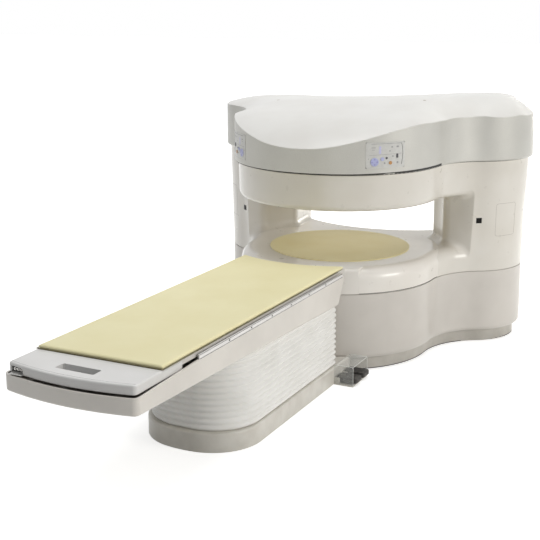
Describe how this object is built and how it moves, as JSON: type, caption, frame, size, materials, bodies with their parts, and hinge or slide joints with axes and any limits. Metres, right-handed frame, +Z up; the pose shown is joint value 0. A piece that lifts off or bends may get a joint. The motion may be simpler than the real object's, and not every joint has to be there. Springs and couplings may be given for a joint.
{
  "type": "open mri scanner",
  "caption": "Open magnetic resonance scanner: two round poles on two columns under moulded covers, with a docked patient table that lifts on bellows and slides its padded top into the gap.",
  "frame": {"origin": "on the floor under the axis of the two round poles, in the middle of the scanner's four floor anchors", "axes": "+X to the right of someone standing at the table's foot end, +Y from the foot of the table into the scanner, +Z up"},
  "size_m": [2.6764, 4.7734, 2.0092],
  "materials": {
    "cover_shell": "gloss",
    "top_shell": "gloss",
    "skirt_shell": "satin",
    "band_grey": "satin",
    "kick_grey": "matte",
    "pad_cream": "matte",
    "steel_structure": "painted",
    "magnet_block": "plated",
    "coil_resin": "cast resin",
    "bolt_steel": "zinc",
    "window_black": "gloss",
    "panel_lilac": "satin",
    "key_blue": "satin",
    "key_amber": "satin",
    "key_dark": "satin",
    "board_laminate": "satin",
    "cap_shell": "satin",
    "mattress_vinyl": "soft vinyl",
    "table_shell": "satin",
    "rail_aluminium": "anodised",
    "bellows_cloth": "coated cloth",
    "drive_grey": "satin",
    "belt_rubber": "matte",
    "pedal_black": "satin",
    "hood_clear": "clear"
  },
  "bodies": {
    "scanner": {"base_top_cover": "cover_shell", "dock_cover": "cover_shell", "drum_cover": "cover_shell", "left_column_cover": "cover_shell", "right_column_cover": "cover_shell", "top_cover": "top_shell", "front_skirt": "skirt_shell", "left_skirt": "skirt_shell", "right_skirt": "skirt_shell", "front_band": "band_grey", "rear_band": "band_grey", "kick_plates": "kick_grey", "pole_pad": "pad_cream", "upper_yoke": "steel_structure", "lower_yoke": "steel_structure", "left_post": "steel_structure", "right_post": "steel_structure", "upper_pole_piece": "steel_structure", "lower_pole_piece": "steel_structure", "upper_magnet": "magnet_block", "lower_magnet": "magnet_block", "upper_gradient_coil": "coil_resin", "lower_gradient_coil": "coil_resin", "upper_rf_coil": "coil_resin", "lower_rf_coil": "coil_resin", "yoke_bolts": "bolt_steel", "levelling_feet": "bolt_steel", "laser_windows": "window_black", "left_panel": "panel_lilac", "right_panel": "panel_lilac", "table_base": "drive_grey", "plinth_cover": "table_shell", "bellows": "bellows_cloth", "lift_sleeves": "drive_grey", "lift_motor": "drive_grey", "pedal_housing": "pedal_black", "pedal_hood": "hood_clear"},
    "middle_stage": {"lift_middle_tubes": "drive_grey"},
    "lift": {"lift_rams": "drive_grey", "lift_head": "drive_grey", "table_frame": "table_shell", "slide_rails": "rail_aluminium", "side_rails": "rail_aluminium", "drive_motor": "drive_grey", "belt_idler": "drive_grey", "drive_belt": "belt_rubber"},
    "tabletop": {"tabletop": "board_laminate", "foot_cap": "cap_shell", "mattress": "mattress_vinyl"},
    "foot_pedal": {"foot_pedal": "pedal_black"},
    "head_pedal": {"head_pedal": "pedal_black"},
    "left_arrow_pad": {"left_arrow_pad": "key_blue"},
    "left_blue_key": {"left_blue_key": "key_blue"},
    "left_amber_key": {"left_amber_key": "key_amber"},
    "left_stop_key": {"left_stop_key": "key_dark"},
    "right_arrow_pad": {"right_arrow_pad": "key_blue"},
    "right_blue_key": {"right_blue_key": "key_blue"},
    "right_amber_key": {"right_amber_key": "key_amber"},
    "right_stop_key": {"right_stop_key": "key_dark"}
  },
  "joints": [
    {"name": "table_lift", "type": "slide", "parent": "scanner", "child": "lift", "axis": [0, 0, 1], "range_m": [-0.32, 0], "deforming": ["bellows"]},
    {"name": "middle_lift", "type": "slide", "parent": "scanner", "child": "middle_stage", "axis": [0, 0, 1], "range_m": [-0.16, 0]},
    {"name": "tabletop_slide", "type": "slide", "parent": "lift", "child": "tabletop", "axis": [0, 1, 0], "range_m": [0, 1.7]},
    {"name": "foot_pedal_hinge", "type": "hinge", "parent": "scanner", "child": "foot_pedal", "pos_m": [0.4183, -0.92003, 0.04], "axis": [0, 1, 0], "range_deg": [0, 5], "stiffness_Nm_per_rad": 20, "springref_deg": -5.73},
    {"name": "head_pedal_hinge", "type": "hinge", "parent": "scanner", "child": "head_pedal", "pos_m": [0.4183, -0.77697, 0.04], "axis": [0, 1, 0], "range_deg": [0, 5], "stiffness_Nm_per_rad": 20, "springref_deg": -5.73},
    {"name": "right_arrow_pad_press", "type": "slide", "parent": "scanner", "child": "right_arrow_pad", "axis": [-0.6428, 0.766, 0], "range_m": [0, 0.002], "stiffness_N_per_m": 500, "springref_m": -0.002},
    {"name": "right_blue_key_press", "type": "slide", "parent": "scanner", "child": "right_blue_key", "axis": [-0.6959, 0.7181, 0], "range_m": [0, 0.002], "stiffness_N_per_m": 500, "springref_m": -0.002},
    {"name": "right_amber_key_press", "type": "slide", "parent": "scanner", "child": "right_amber_key", "axis": [-0.7478, 0.6639, 0], "range_m": [0, 0.002], "stiffness_N_per_m": 500, "springref_m": -0.002},
    {"name": "right_stop_key_press", "type": "slide", "parent": "scanner", "child": "right_stop_key", "axis": [-0.7902, 0.6129, 0], "range_m": [0, 0.002], "stiffness_N_per_m": 500, "springref_m": -0.002},
    {"name": "left_arrow_pad_press", "type": "slide", "parent": "scanner", "child": "left_arrow_pad", "axis": [0.6428, 0.766, 0], "range_m": [0, 0.002], "stiffness_N_per_m": 500, "springref_m": -0.002},
    {"name": "left_blue_key_press", "type": "slide", "parent": "scanner", "child": "left_blue_key", "axis": [0.6959, 0.7181, 0], "range_m": [0, 0.002], "stiffness_N_per_m": 500, "springref_m": -0.002},
    {"name": "left_amber_key_press", "type": "slide", "parent": "scanner", "child": "left_amber_key", "axis": [0.7478, 0.6639, 0], "range_m": [0, 0.002], "stiffness_N_per_m": 500, "springref_m": -0.002},
    {"name": "left_stop_key_press", "type": "slide", "parent": "scanner", "child": "left_stop_key", "axis": [0.7902, 0.6129, 0], "range_m": [0, 0.002], "stiffness_N_per_m": 500, "springref_m": -0.002}
  ],
  "couplings": [
    {"joint": "middle_lift", "follows": "table_lift", "ratio": 0.5}
  ]
}
